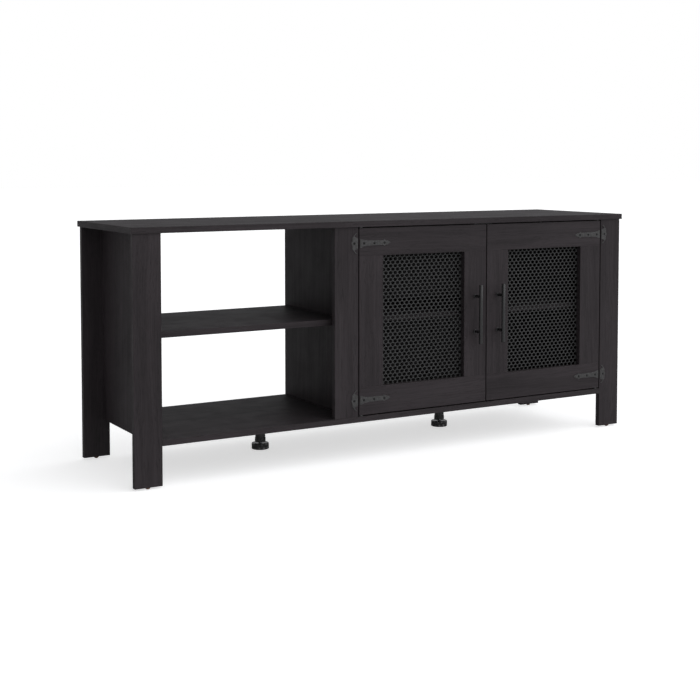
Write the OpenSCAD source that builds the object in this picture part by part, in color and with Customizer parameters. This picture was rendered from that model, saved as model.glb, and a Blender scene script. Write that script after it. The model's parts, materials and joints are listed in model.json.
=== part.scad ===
// Low media cabinet with one open bay, two perforated-metal doors and two levelling feet.
// X runs along the width, the doors face -Y and Z is up. The origin is the middle of the
// bounding box in X and Y, at floor level.

/* [Overall] */
// Width of the carcass over the legs
body_w = 1490; // [1240:5:1800]
// Depth of the carcass, from the front of the legs to their back
body_d = 380; // [310:5:480]
// Length of the legs, from their lower ends to the underside of the top
leg_h = 600; // [500:5:760]
// Thickness of every board
board_t = 15; // [15:0.5:18]
// Overhang of the top past the carcass, all round
top_overhang = 5; // [2:0.5:15]

/* [Carcass] */
// Width of each leg board
leg_w = 70; // [60:1:90]
// Width of the stile between the open bay and the doors
stile_w = 69; // [60:1:85]
// Clear width of the cabinet behind the doors
cabinet_w = 812; // [640:1:980]
// Height of the base panel's underside above the legs' lower ends
base_z = 95; // [80:1:180]
// Height of the shelves' underside above the legs' lower ends
shelf_z = 347.5; // [280:0.5:440]
// Setback of the shelves' front edge from the front of the legs
shelf_setback = 34; // [24:1:60]
// Thickness of the back panel behind the doors
back_t = 3; // [2.5:0.5:4]

/* [Doors] */
// Gap round a door
door_gap = 3.2; // [3:0.1:4.5]
// Width of the door frame's stiles and rails
frame_w = 72; // [60:1:90]
// Diameter of the pivot pins
pivot_d = 5; // [4:0.5:6]

/* [Perforated sheets] */
// Thickness of the steel sheet
sheet_t = 1; // [0.8:0.1:1.5]
// Distance between the holes of one row
hole_pitch = 14.35; // [12:0.05:18]
// Distance from one row to the next
row_pitch = 9.02; // [8:0.02:12]
// Diameter of the holes
hole_d = 9.7; // [5:0.1:10.5]
// How far the sheet laps the frame round the opening
sheet_lap = 14; // [11:1:20]

/* [Handles] */
// Length of the handle bar
bar_l = 160; // [128:1:220]
// Diameter of the handle bar
bar_d = 10; // [8:0.5:12]
// Distance between the two handle posts
post_pitch = 96; // [64:1:128]
// Distance from the door's face to the front of the bar
handle_reach = 32; // [26:1:40]

/* [Hinge straps] */
// Length of a strap along the door
strap_l = 91; // [80:1:110]
// Height of a strap at its hinge end
strap_h = 23; // [18:1:28]
// Thickness of the strap iron
iron_t = 1.5; // [1:0.1:1.8]
// Distance from the door's top or bottom edge to the middle of the strap
strap_offset = 39; // [32:1:46]

/* [Feet] */
// Distance of each levelling foot from the middle of the width
foot_x = 291; // [220:1:400]
// Distance of the levelling feet from the front of the legs
foot_y = 258; // [190:1:270]
// Diameter of the foot's pad
foot_pad_d = 47; // [40:1:60]
// Height of the foot's pad
foot_pad_h = 16; // [12:1:20]
// Diameter of the foot's column
foot_column_d = 27; // [22:1:32]
// How far the pad screws out of its column
foot_travel = 12; // [6:1:15]
// Height of the glides under the legs
glide_h = 5; // [3:0.5:8]

/* [Hidden] */
$fn = 48;
eps = 0.5;

// Colours
wenge = [0.20, 0.18, 0.19];
wenge_dark = [0.13, 0.12, 0.12];
iron = [0.24, 0.24, 0.25];
black = [0.08, 0.08, 0.08];
steel = [0.72, 0.72, 0.74];
birch = [0.78, 0.65, 0.45];
copper = [0.45, 0.30, 0.20];

// Places along Y, from the front of the handles to the back of the top
front_y = -(body_d + top_overhang - handle_reach) / 2;
back_y = front_y + body_d;
inner_front_y = front_y + board_t;
inner_back_y = back_y - board_t;

// Places along Z
leg_low = glide_h;
base_low = leg_low + base_z;
base_top = base_low + board_t;
top_low = leg_low + leg_h;
top_high = top_low + board_t;
shelf_low = leg_low + shelf_z;
shelf_top = shelf_low + board_t;

// Places along X
left_x = -body_w / 2;
right_x = body_w / 2;
bay_left = left_x + leg_w;
bay_right = right_x - leg_w;
divider_right = bay_right - cabinet_w;
divider_left = divider_right - board_t;
stile_left = divider_right - stile_w;

// Doors. The left one is drawn, and the right one is its mirror image.
door_w = (cabinet_w - 3 * door_gap) / 2;
door_left = divider_right + door_gap;
door_right = door_left + door_w;
door_low = base_top + door_gap;
door_high = top_low - door_gap;
door_middle_z = (door_low + door_high) / 2;
opening_left = door_left + frame_w;
opening_right = door_right - frame_w;
opening_low = door_low + frame_w;
opening_high = door_high - frame_w;
opening_middle_x = (opening_left + opening_right) / 2;
meeting_x = (divider_right + bay_right) / 2;

// Pivots: the door's front corner, at a radius from the pin, has to pass the stile's edge. It
// does if radius < inset + gap, where radius^2 = inset^2 + (board_t / 2)^2.
pivot_margin = 0.8;
pivot_inset = (pow(board_t / 2, 2) - pow(door_gap, 2)) / (2 * door_gap) + pivot_margin;
pivot_x = door_left + pivot_inset;
pivot_y = front_y + board_t / 2;
pivot_deep = 24;
pivot_fit = 0.05;
bush_wall = 1.5;
bush_deep = 10;
bush_rim_w = 2;
bush_air = 0.4;
bush_rim_h = door_gap - bush_air;

// Cam fittings and dowels
cam_d = 15;
cam_fit = 0.2;
cam_past_middle = 5;
cam_deep = board_t / 2 + cam_past_middle;
cam_inset = 24;
bolt_d = 6;
bolt_head_d = 7.5;
bolt_head_h = 3;
bolt_thread = 10.5;
bolt_room_d = 8;
dowel_d = 8;
dowel_l = 30;
dowel_deep = 10;
joint_inset = 60;
leg_joint = 90;
cam_to_dowel = 32;
stile_dowels = 18;
base_screw_d = 5;
base_screw_l = 50;
base_screw_head_d = 9;
base_screw_head_h = 4;

// Back panel grooves
groove_deep = 8;
rebate_deep = 3;
groove_fit = 0.4;

// Shelf pins
shelf_fit = 1;
pin_d = 5;
pin_in = 9;
pin_out = 9;
pin_inset = 50;

// Door frame dowels, sheet and screws
frame_dowel_gap = 32;
mesh_screw_d = 3;
mesh_screw_l = 9;
mesh_head_d = 7;
mesh_head_h = 1.6;
mesh_screws_across = 3;
mesh_screws_up = 4;
sheet_left = opening_left - sheet_lap;
sheet_right = opening_right + sheet_lap;
sheet_low = opening_low - sheet_lap;
sheet_high = opening_high + sheet_lap;

// Magnetic catch
catch_w = 64;
catch_d = 16;
catch_h = 12;
catch_air = 0.5;
magnet_w = 20;
magnet_d = 6;
magnet_h = 6;
magnet_out = 0.3;
catch_screw_d = 3.5;
catch_screw_deep = 10;
catch_screw_head_d = 6.5;
catch_screw_head_h = 2;
strike_w = 24;
strike_h = 12;
strike_drop = 0.8;
strike_t = 1;
strike_pin_d = 3;
strike_pin_l = 9;
strike_inset = 20;

// Handles: centred on the stile and on the door's height
handle_x = door_right - frame_w / 2;
bar_y = front_y - handle_reach + bar_d / 2;
post_d = 8;
handle_screw_d = 4;
handle_screw_in = 12;
handle_head_d = 8;
handle_head_h = 2.4;

// Hinge straps and plates: half outlines, from the hinge end, mirrored about the middle line
strap_start = 2;
plate_start = 1.2;
iron_screw_d = 3;
iron_screw_l = 11;
iron_head_d = 4.6;
iron_head_h = 0.8;
strap_holes = [11.5, 42.5, strap_l - 18];
strap_half = [
  [0, strap_h / 2], [5, strap_h / 2 - 2], [12, strap_h / 2 - 4.3], [22, 6.8],
  [strap_l - 26, 6.2], [strap_l - 18, 7.2], [strap_l - 11, 5.4], [strap_l - 9, 3.4],
  [strap_l - 6.5, 4.8], [strap_l, 0],
];
plate_hole = 11;
plate_half = [
  [0, 12], [5, 10], [8.5, 12], [8.5, 18], [6, 23], [2.5, 27],
  [10, 24], [15.5, 18], [19, 10], [20, 0],
];
strap_heights = [door_low + strap_offset, door_high - strap_offset];

// Feet
foot_place_y = front_y + foot_y;
foot_air = 3;
column_low = foot_pad_h + foot_air;
column_deep = 40;
collar_d = foot_column_d + 2;
collar_h = 12;
flange_d = 64;
flange_h = 4;
stud_d = 10;
stud_fit = 0.08;
stud_in_pad = 8;
stud_engaged = 13;
stud_high = stud_in_pad + foot_air + foot_travel + stud_engaged;
foot_screw_d = 4;
foot_screw_in = 11;
foot_screw_head_d = 8;
foot_screw_head_h = 2;
foot_screw_ring = 23;
pad_rim = 2;

// Glides
nail_d = 2.5;
nail_l = 16;
glide_d = 13;

// ---- Helpers ----

// A box from its lowest corner to its highest.
module box(low, high) {
  translate(low) cube(high - low);
}

// Rods that start at a point and run along one axis.
module rod_x(from, length, d) {
  translate(from) rotate([0, 90, 0]) cylinder(h = length, d = d);
}
module rod_y(from, length, d) {
  translate(from) rotate([-90, 0, 0]) cylinder(h = length, d = d);
}
module rod_z(from, length, d) {
  translate(from) cylinder(h = length, d = d);
}

// The right door's pieces: the mirror image about the line where the doors meet.
module opposite() {
  translate([2 * meeting_x, 0, 0]) mirror([1, 0, 0]) children();
}

// A board joint is [place, turn]. Its own +Z points into the board that takes the thread or
// the dowel's short end, and its own +X points out of the face that shows the cam.
module at_joints(joints) {
  for (j = joints) translate(j[0]) rotate(j[1]) children();
}

// ---- Board joints ----

joint_y = [inner_front_y + joint_inset, inner_back_y - joint_inset - cam_to_dowel];
joint_z = [base_top + leg_joint, top_low - leg_joint - cam_to_dowel];
to_dowel_y = [0, cam_to_dowel, 0];
to_dowel_z = [0, 0, cam_to_dowel];
base_mid_z = base_low + board_t / 2;
shelf_mid_z = shelf_low + board_t / 2;
divider_mid_x = divider_right - board_t / 2;
left_side_x = bay_left - board_t / 2;
right_side_x = bay_right + board_t / 2;

top_cams = concat(
  [for (y = joint_y) [[left_side_x, y, top_low], [0, 0, 0]]],
  [for (y = joint_y) [[right_side_x, y, top_low], [0, 0, 180]]],
  [for (y = joint_y) [[divider_mid_x, y, top_low], [0, 0, 0]]]
);
leg_cams = concat(
  [for (z = joint_z) [[left_side_x, inner_front_y, z], [90, 0, 0]]],
  [for (z = joint_z) [[right_side_x, inner_front_y, z], [-90, 0, 180]]],
  [for (z = joint_z) [[left_side_x, inner_back_y, z], [-90, 0, 0]]],
  [for (z = joint_z) [[right_side_x, inner_back_y, z], [90, 0, 180]]]
);
stile_cams = [for (z = joint_z) [[divider_mid_x, inner_front_y, z], [90, 0, 0]]];
base_cams = concat(
  [for (y = joint_y) [[bay_left, y, base_mid_z], [180, 90, 0]]],
  [for (y = joint_y) [[bay_right, y, base_mid_z], [0, 90, 0]]]
);
shelf_cams = concat(
  [for (y = joint_y) [[bay_left, y, shelf_mid_z], [180, 90, 0]]],
  [for (y = joint_y) [[divider_left, y, shelf_mid_z], [0, 90, 0]]]
);
all_cams = concat(top_cams, leg_cams, stile_cams, base_cams, shelf_cams);

function moved(joints, step) = [for (j = joints) [j[0] + step, j[1]]];
edge_dowels = concat(
  [for (x = [left_x + leg_w / 2, right_x - leg_w / 2], y = [front_y, inner_back_y])
    [[x, y + board_t / 2, top_low], [0, 0, 0]]],
  [for (x = [-1, 1]) [[stile_left + stile_w / 2 + x * stile_dowels, pivot_y, top_low], [0, 0, 0]]],
  [for (x = [-1, 1]) [[stile_left + stile_w / 2 + x * stile_dowels, pivot_y, base_top], [180, 0, 0]]],
  [[[divider_mid_x, (joint_y[0] + joint_y[1]) / 2, base_top], [180, 0, 0]]]
);
all_dowels = concat(
  edge_dowels,
  moved(top_cams, to_dowel_y),
  moved(leg_cams, to_dowel_z),
  moved(stile_cams, to_dowel_z),
  moved(base_cams, to_dowel_y),
  moved(shelf_cams, to_dowel_y)
);

// What a board loses to a cam fitting: the cam's pocket, the bolt's hole and its thread.
module cam_room() {
  pocket_floor = board_t / 2 - cam_deep;
  rod_x([pocket_floor, 0, -cam_inset], cam_deep + eps, cam_d);
  rod_z([0, 0, -cam_inset], cam_inset, bolt_room_d);
  cylinder(h = bolt_thread, d = bolt_d);
}

module cam_disc() {
  difference() {
    rod_x([board_t / 2 - cam_deep, 0, -cam_inset], cam_deep, cam_d - cam_fit);
    rod_z([0, 0, -cam_inset - bolt_head_h], cam_inset, bolt_room_d);
    box([board_t / 2 - 2, -0.8, -cam_inset - 5], [board_t / 2 + eps, 0.8, -cam_inset + 5]);
    box([board_t / 2 - 2, -5, -cam_inset - 0.8], [board_t / 2 + eps, 5, -cam_inset + 0.8]);
  }
}

module cam_bolt() {
  rod_z([0, 0, -cam_inset], cam_inset + bolt_thread, bolt_d);
  rod_z([0, 0, -cam_inset - bolt_head_h / 2], bolt_head_h, bolt_head_d);
}

module dowel() {
  rod_z([0, 0, dowel_deep - dowel_l], dowel_l, dowel_d);
}

module joint_rooms() {
  at_joints(all_cams) cam_room();
  at_joints(all_dowels) dowel();
}

// The room for the back panel: a groove in the top, base and divider, a rebate in the side.
module back_panel_at(fit) {
  box(
    [divider_right - groove_deep, inner_back_y - back_t - fit, base_top - groove_deep],
    [bay_right + rebate_deep, inner_back_y, top_low + groove_deep]
  );
}

// Screws up through the base into the divider's lower edge.
module base_screw_set() {
  for (y = joint_y) translate([divider_mid_x, y, base_low]) {
    cylinder(h = base_screw_l, d = base_screw_d);
    cylinder(h = base_screw_head_h, d = base_screw_head_d);
  }
}

// The four ends of the two doors' pivots, as [x, z, direction].
pivot_ends = [
  [pivot_x, base_top, -1], [pivot_x, top_low, 1],
  [2 * meeting_x - pivot_x, base_top, -1], [2 * meeting_x - pivot_x, top_low, 1],
];
pivot_bore = pivot_d + 2 * pivot_fit;
bush_d = pivot_bore + 2 * bush_wall;
module at_pivot_ends() {
  for (p = pivot_ends) translate([p[0], pivot_y, p[1]]) mirror([0, 0, p[2] < 0 ? 1 : 0]) children();
}

// ---- Catch ----

catch_y = inner_front_y + strike_t + catch_air + magnet_out;
catch_screw_x = [meeting_x - 4, meeting_x + 4];
magnet_x = [meeting_x - strike_inset, meeting_x + strike_inset];
magnet_z = top_low - catch_h / 2;
module magnet_set() {
  for (x = magnet_x)
    box(
      [x - magnet_w / 2, catch_y - magnet_out, magnet_z - magnet_h / 2],
      [x + magnet_w / 2, catch_y + magnet_d, magnet_z + magnet_h / 2]
    );
}
module catch_screw_set() {
  for (x = catch_screw_x) translate([x, catch_y + catch_d / 2, top_low - catch_h]) {
    cylinder(h = catch_h + catch_screw_deep, d = catch_screw_d);
    cylinder(h = catch_screw_head_h, d = catch_screw_head_d);
  }
}

// ---- Feet ----

foot_screw_places = [for (a = [45:90:315]) foot_screw_ring * [cos(a), sin(a)]];
module foot_screw_set() {
  for (x = [-foot_x, foot_x], p = foot_screw_places)
    translate([x + p[0], foot_place_y + p[1], base_low - flange_h - foot_screw_head_h]) {
      cylinder(h = foot_screw_head_h + flange_h + foot_screw_in, d = foot_screw_d);
      cylinder(h = foot_screw_head_h, d = foot_screw_head_d);
    }
}

module foot_column(x) {
  color(black)
  difference() {
    translate([x, foot_place_y, 0]) {
      rod_z([0, 0, column_low], base_low - column_low, foot_column_d);
      rod_z([0, 0, column_low], collar_h, collar_d);
      rod_z([0, 0, base_low - flange_h], flange_h, flange_d);
    }
    rod_z([x, foot_place_y, column_low - eps], column_deep + eps, stud_d + 2 * stud_fit);
    foot_screw_set();
  }
}

module foot_stud(x) {
  color(steel)
  rod_z([x, foot_place_y, foot_pad_h - stud_in_pad], stud_high, stud_d);
}

module foot_pad(x) {
  color(black)
  difference() {
    translate([x, foot_place_y, 0])
      rotate_extrude()
        polygon([
          [0, 0], [foot_pad_d / 2 - 1, 0], [foot_pad_d / 2, 1],
          [foot_pad_d / 2, foot_pad_h - pad_rim], [foot_pad_d / 2 - pad_rim, foot_pad_h], [0, foot_pad_h],
        ]);
    rod_z([x, foot_place_y, foot_pad_h - stud_in_pad], stud_in_pad + eps, stud_d);
  }
}

// ---- Carcass ----

module top_panel() {
  color(wenge)
  difference() {
    box(
      [left_x - top_overhang, front_y - top_overhang, top_low],
      [right_x + top_overhang, back_y + top_overhang, top_high]
    );
    joint_rooms();
    back_panel_at(groove_fit);
    at_pivot_ends() cylinder(h = bush_deep, d = bush_d);
    catch_screw_set();
  }
}

module base_panel() {
  color(wenge)
  difference() {
    box([bay_left, front_y, base_low], [bay_right, back_y, base_top]);
    joint_rooms();
    back_panel_at(groove_fit);
    at_pivot_ends() cylinder(h = bush_deep, d = bush_d);
    base_screw_set();
    foot_screw_set();
  }
}

module side_panel(x) {
  color(wenge_dark)
  difference() {
    box([x, inner_front_y, base_low], [x + board_t, inner_back_y, top_low]);
    joint_rooms();
    back_panel_at(0);
    shelf_pin_set();
  }
}
module side_panel_left() { side_panel(bay_left - board_t); }
module side_panel_right() { side_panel(bay_right); }

module divider_panel() {
  color(wenge_dark)
  difference() {
    box([divider_left, inner_front_y, base_top], [divider_right, back_y, top_low]);
    joint_rooms();
    back_panel_at(groove_fit);
    base_screw_set();
    shelf_pin_set();
  }
}

module leg(x, y) {
  color(wenge)
  difference() {
    box([x, y, leg_low], [x + leg_w, y + board_t, top_low]);
    joint_rooms();
    rod_z([x + leg_w / 2, y + board_t / 2, leg_low - eps], nail_l + eps, nail_d);
    opposite() iron_pilots();
  }
}
module front_leg_left() { leg(left_x, front_y); }
module front_leg_right() { leg(bay_right, front_y); }
module back_leg_left() { leg(left_x, inner_back_y); }
module back_leg_right() { leg(bay_right, inner_back_y); }

module center_stile() {
  color(wenge)
  difference() {
    box([stile_left, front_y, base_top], [divider_right, inner_front_y, top_low]);
    joint_rooms();
    iron_pilots();
  }
}

module open_shelf() {
  color(wenge)
  difference() {
    box([bay_left, front_y + shelf_setback, shelf_low], [divider_left, back_y, shelf_top]);
    joint_rooms();
  }
}

module cabinet_shelf() {
  color(wenge)
  box(
    [divider_right + shelf_fit, front_y + shelf_setback, shelf_low],
    [bay_right - shelf_fit, inner_back_y - back_t - groove_fit - shelf_fit, shelf_top]
  );
}

module back_panel() {
  color(wenge_dark) back_panel_at(0);
}

pin_y = [front_y + shelf_setback + pin_inset, inner_back_y - back_t - groove_fit - shelf_fit - pin_inset];
module shelf_pin_set() {
  for (y = pin_y) translate([0, y, shelf_low - pin_d / 2]) {
    rod_x([divider_right - pin_in, 0, 0], pin_in + pin_out, pin_d);
    rod_x([bay_right - pin_out, 0, 0], pin_in + pin_out, pin_d);
  }
}
module shelf_pins() {
  color(steel) shelf_pin_set();
}

module leg_glides() {
  color(copper)
  for (x = [left_x + leg_w / 2, right_x - leg_w / 2], y = [front_y, inner_back_y])
    translate([x, y + board_t / 2, 0])
      rotate_extrude()
        polygon([
          [0, 0], [glide_d * 0.2, 0], [glide_d * 0.36, 0.25 * glide_h],
          [glide_d * 0.47, 0.7 * glide_h], [glide_d / 2, glide_h],
          [nail_d / 2, glide_h], [nail_d / 2, glide_h + nail_l], [0, glide_h + nail_l],
        ]);
}

module cam_discs() { color(steel) at_joints(all_cams) cam_disc(); }
module cam_bolts() { color(steel) at_joints(all_cams) cam_bolt(); }
module wood_dowels() { color(birch) at_joints(all_dowels) dowel(); }
module base_screws() { color(steel) base_screw_set(); }

module pivot_bushes() {
  color(black)
  at_pivot_ends()
    difference() {
      union() {
        cylinder(h = bush_deep, d = bush_d);
        rod_z([0, 0, -bush_rim_h], bush_rim_h, bush_d + 2 * bush_rim_w);
      }
      rod_z([0, 0, -bush_rim_h - eps], bush_rim_h + bush_deep + 2 * eps, pivot_bore);
    }
}

module catch_housing() {
  color(black)
  difference() {
    box(
      [meeting_x - catch_w / 2, catch_y, top_low - catch_h],
      [meeting_x + catch_w / 2, catch_y + catch_d, top_low]
    );
    magnet_set();
    catch_screw_set();
  }
}
module catch_magnets() { color(steel) magnet_set(); }
module catch_screws() { color(steel) catch_screw_set(); }

module foot_column_left() { foot_column(-foot_x); }
module foot_column_right() { foot_column(foot_x); }
module foot_screws() { color(steel) foot_screw_set(); }
module foot_stud_left() { foot_stud(-foot_x); }
module foot_stud_right() { foot_stud(foot_x); }
module foot_pad_left() { foot_pad(-foot_x); }
module foot_pad_right() { foot_pad(foot_x); }

// ---- Hinge ironwork ----

// A flat iron in front of the boards: its half outline runs along direction X from a point.
module iron_shape(half, x, direction) {
  lower = [for (i = [len(half) - 1:-1:0]) if (half[i][1] > 0) [half[i][0], -half[i][1]]];
  for (z = strap_heights)
    translate([x, front_y, z])
      rotate([90, 0, 0])
        linear_extrude(iron_t)
          polygon([for (p = concat(half, lower)) [direction * p[0], p[1]]]);
}

strap_x = door_left + strap_start;
plate_x = divider_right - plate_start;
strap_screw_x = [for (h = strap_holes) strap_x + h];
plate_screw_x = [plate_x - plate_hole];

module iron_screw_set(places) {
  for (x = places, z = strap_heights) {
    rod_y([x, front_y - iron_t, z], iron_screw_l, iron_screw_d);
    rod_y([x, front_y - iron_t, z], iron_head_h, iron_head_d);
  }
}
module iron_pilots() { iron_screw_set(concat(strap_screw_x, plate_screw_x)); }

module strap_pair() {
  color(iron)
  difference() {
    iron_shape(strap_half, strap_x, 1);
    iron_pilots();
  }
}
module plate_pair() {
  color(iron)
  difference() {
    iron_shape(plate_half, plate_x, -1);
    iron_pilots();
  }
}
module hinge_plates() {
  plate_pair();
  opposite() plate_pair();
}
module plate_screws() {
  color(black) {
    iron_screw_set(plate_screw_x);
    opposite() iron_screw_set(plate_screw_x);
  }
}

// ---- Doors ----

// Dowels between the rails and the stiles, in joint form.
frame_dowel_places = [for (
    x = [door_left + frame_w / 2, door_right - frame_w / 2],
    step = [-frame_dowel_gap / 2, frame_dowel_gap / 2],
    z = [opening_low, opening_high]
  ) [x + step, z]];
module frame_dowel_set() {
  for (p = frame_dowel_places) rod_z([p[0], pivot_y, p[1] - dowel_l / 2], dowel_l, dowel_d);
}

// Screws round the sheet's edge, evenly spaced from corner to corner.
screw_edge = sheet_lap / 2;
mesh_x = [for (i = [0:mesh_screws_across - 1])
  sheet_left + screw_edge + i * (sheet_right - sheet_left - 2 * screw_edge) / (mesh_screws_across - 1)];
mesh_z = [for (i = [0:mesh_screws_up - 1])
  sheet_low + screw_edge + i * (sheet_high - sheet_low - 2 * screw_edge) / (mesh_screws_up - 1)];
mesh_screw_places = concat(
  [for (x = mesh_x, z = [mesh_z[0], mesh_z[mesh_screws_up - 1]]) [x, z]],
  [for (x = [mesh_x[0], mesh_x[mesh_screws_across - 1]], i = [1:mesh_screws_up - 2]) [x, mesh_z[i]]]
);
sheet_back_y = inner_front_y + sheet_t;
module mesh_screw_set() {
  for (p = mesh_screw_places) {
    rod_y([p[0], sheet_back_y - mesh_screw_l, p[1]], mesh_screw_l + mesh_head_h, mesh_screw_d);
    rod_y([p[0], sheet_back_y, p[1]], mesh_head_h, mesh_head_d);
  }
}

module pivot_pin_set() {
  rod_z([pivot_x, pivot_y, base_top - bush_deep + 1], door_gap + bush_deep - 1 + pivot_deep, pivot_d);
  rod_z([pivot_x, pivot_y, door_high - pivot_deep], door_gap + bush_deep - 1 + pivot_deep, pivot_d);
}

handle_post_z = [door_middle_z - post_pitch / 2, door_middle_z + post_pitch / 2];
module handle_screw_set() {
  for (z = handle_post_z) {
    rod_y([handle_x, front_y - handle_screw_in, z], board_t + handle_screw_in, handle_screw_d);
    rod_y([handle_x, inner_front_y - handle_head_h, z], handle_head_h, handle_head_d);
  }
}
module handle_bar_rod() {
  rod_z([handle_x, bar_y, door_middle_z - bar_l / 2], bar_l, bar_d);
}

module strike_shape() {
  x = meeting_x - strike_inset;
  pin_z = door_high - strike_drop - strike_h / 2;
  box(
    [x - strike_w / 2, inner_front_y, door_high - strike_drop - strike_h],
    [x + strike_w / 2, inner_front_y + strike_t, door_high - strike_drop]
  );
  rod_y([x, inner_front_y - strike_pin_l, pin_z], strike_pin_l, strike_pin_d);
}

module door_board(low_x, low_z, high_x, high_z) {
  color(wenge)
  difference() {
    box([low_x, front_y, low_z], [high_x, inner_front_y, high_z]);
    frame_dowel_set();
    mesh_screw_set();
    pivot_pin_set();
    handle_screw_set();
    iron_pilots();
    strike_shape();
  }
}
module top_rail() { door_board(door_left, opening_high, door_right, door_high); }
module bottom_rail() { door_board(door_left, door_low, door_right, opening_low); }
module hinge_stile() { door_board(door_left, opening_low, opening_left, opening_high); }
module handle_stile() { door_board(opening_right, opening_low, door_right, opening_high); }

// A steel sheet on the frame's back, with staggered rows of holes over the opening.
module mesh_sheet() {
  columns = floor((opening_right - opening_left + hole_pitch) / hole_pitch);
  rows = floor((opening_high - opening_low + row_pitch) / row_pitch);
  first_x = opening_middle_x - (columns - 1) * hole_pitch / 2 - hole_pitch / 4;
  first_z = door_middle_z - (rows - 1) * row_pitch / 2;
  color(iron)
  difference() {
    translate([0, sheet_back_y, 0])
      rotate([90, 0, 0])
        linear_extrude(sheet_t)
          difference() {
            translate([sheet_left, sheet_low]) square([sheet_right - sheet_left, sheet_high - sheet_low]);
            for (r = [0:rows - 1], c = [0:columns - 1])
              translate([first_x + (c + (r % 2) / 2) * hole_pitch, first_z + r * row_pitch])
                circle(d = hole_d, $fn = 16);
          }
    mesh_screw_set();
  }
}

module handle_posts() {
  color(black)
  difference() {
    for (z = handle_post_z) rod_y([handle_x, bar_y, z], front_y - bar_y, post_d);
    handle_bar_rod();
    handle_screw_set();
  }
}

module left_top_rail() { top_rail(); }
module left_bottom_rail() { bottom_rail(); }
module left_hinge_stile() { hinge_stile(); }
module left_handle_stile() { handle_stile(); }
module left_mesh_sheet() { mesh_sheet(); }
module left_mesh_screws() { color(steel) mesh_screw_set(); }
module left_handle_bar() { color(black) handle_bar_rod(); }
module left_handle_posts() { handle_posts(); }
module left_handle_screws() { color(steel) handle_screw_set(); }
module left_hinge_straps() { strap_pair(); }
module left_strap_screws() { color(black) iron_screw_set(strap_screw_x); }
module left_pivot_pins() { color(steel) pivot_pin_set(); }
module left_strike_plate() { color(steel) strike_shape(); }
module left_frame_dowels() { color(birch) frame_dowel_set(); }
module right_top_rail() { opposite() top_rail(); }
module right_bottom_rail() { opposite() bottom_rail(); }
module right_hinge_stile() { opposite() hinge_stile(); }
module right_handle_stile() { opposite() handle_stile(); }
module right_mesh_sheet() { opposite() mesh_sheet(); }
module right_mesh_screws() { opposite() left_mesh_screws(); }
module right_handle_bar() { opposite() left_handle_bar(); }
module right_handle_posts() { opposite() handle_posts(); }
module right_handle_screws() { opposite() left_handle_screws(); }
module right_hinge_straps() { opposite() strap_pair(); }
module right_strap_screws() { opposite() left_strap_screws(); }
module right_pivot_pins() { opposite() left_pivot_pins(); }
module right_strike_plate() { opposite() left_strike_plate(); }
module right_frame_dowels() { opposite() left_frame_dowels(); }

top_panel();
base_panel();
side_panel_left();
side_panel_right();
divider_panel();
front_leg_left();
front_leg_right();
back_leg_left();
back_leg_right();
center_stile();
open_shelf();
cabinet_shelf();
back_panel();
shelf_pins();
leg_glides();
cam_discs();
cam_bolts();
wood_dowels();
base_screws();
pivot_bushes();
hinge_plates();
plate_screws();
catch_housing();
catch_magnets();
catch_screws();
foot_column_left();
foot_column_right();
foot_screws();
foot_stud_left();
foot_pad_left();
foot_stud_right();
foot_pad_right();
left_top_rail();
left_bottom_rail();
left_hinge_stile();
left_handle_stile();
left_mesh_sheet();
left_mesh_screws();
left_handle_bar();
left_handle_posts();
left_handle_screws();
left_hinge_straps();
left_strap_screws();
left_pivot_pins();
left_strike_plate();
left_frame_dowels();
right_top_rail();
right_bottom_rail();
right_hinge_stile();
right_handle_stile();
right_mesh_sheet();
right_mesh_screws();
right_handle_bar();
right_handle_posts();
right_handle_screws();
right_hinge_straps();
right_strap_screws();
right_pivot_pins();
right_strike_plate();
right_frame_dowels();
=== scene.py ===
"""Low wenge media cabinet: finished boards, perforated doors, hinge irons, handles and feet.

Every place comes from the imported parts. Lengths are in metres. X runs along the width, the
doors face -Y and Z is up.
"""

import json
import math

import bpy
import numpy as np
from bpy.props import FloatProperty, FloatVectorProperty, IntProperty, PointerProperty
from bpy.types import Operator, Panel, PropertyGroup
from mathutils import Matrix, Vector

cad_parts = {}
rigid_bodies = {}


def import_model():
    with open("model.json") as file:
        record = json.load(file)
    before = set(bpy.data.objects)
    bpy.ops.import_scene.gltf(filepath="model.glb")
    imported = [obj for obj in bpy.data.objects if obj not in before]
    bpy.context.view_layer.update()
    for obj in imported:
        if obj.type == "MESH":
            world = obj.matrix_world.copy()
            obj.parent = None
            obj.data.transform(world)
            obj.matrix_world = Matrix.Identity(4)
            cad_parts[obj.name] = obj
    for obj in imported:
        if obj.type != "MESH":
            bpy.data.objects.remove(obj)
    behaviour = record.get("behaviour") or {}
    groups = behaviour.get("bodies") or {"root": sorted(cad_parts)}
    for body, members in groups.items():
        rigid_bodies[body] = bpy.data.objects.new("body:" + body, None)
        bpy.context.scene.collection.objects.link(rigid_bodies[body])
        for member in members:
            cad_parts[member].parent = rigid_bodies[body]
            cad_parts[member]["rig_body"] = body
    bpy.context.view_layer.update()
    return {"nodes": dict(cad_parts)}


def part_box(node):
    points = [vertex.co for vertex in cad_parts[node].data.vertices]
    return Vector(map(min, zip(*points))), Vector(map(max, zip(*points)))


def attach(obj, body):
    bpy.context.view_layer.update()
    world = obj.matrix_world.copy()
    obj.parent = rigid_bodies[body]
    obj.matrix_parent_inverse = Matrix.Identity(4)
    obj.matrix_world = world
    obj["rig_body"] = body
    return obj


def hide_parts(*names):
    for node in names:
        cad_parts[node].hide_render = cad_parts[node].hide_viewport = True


bl_info = {
    "name": "Wenge Media Cabinet",
    "version": (1, 0, 0),
    "blender": (4, 5, 0),
    "location": "3D View > Sidebar > Cabinet",
    "description": "Lays finished boards, perforated doors, ironwork and feet over the cabinet's parts",
    "category": "Add Mesh",
}

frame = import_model()

MM = 0.001
AXES = {"x": 0, "y": 1, "z": 2}

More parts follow.
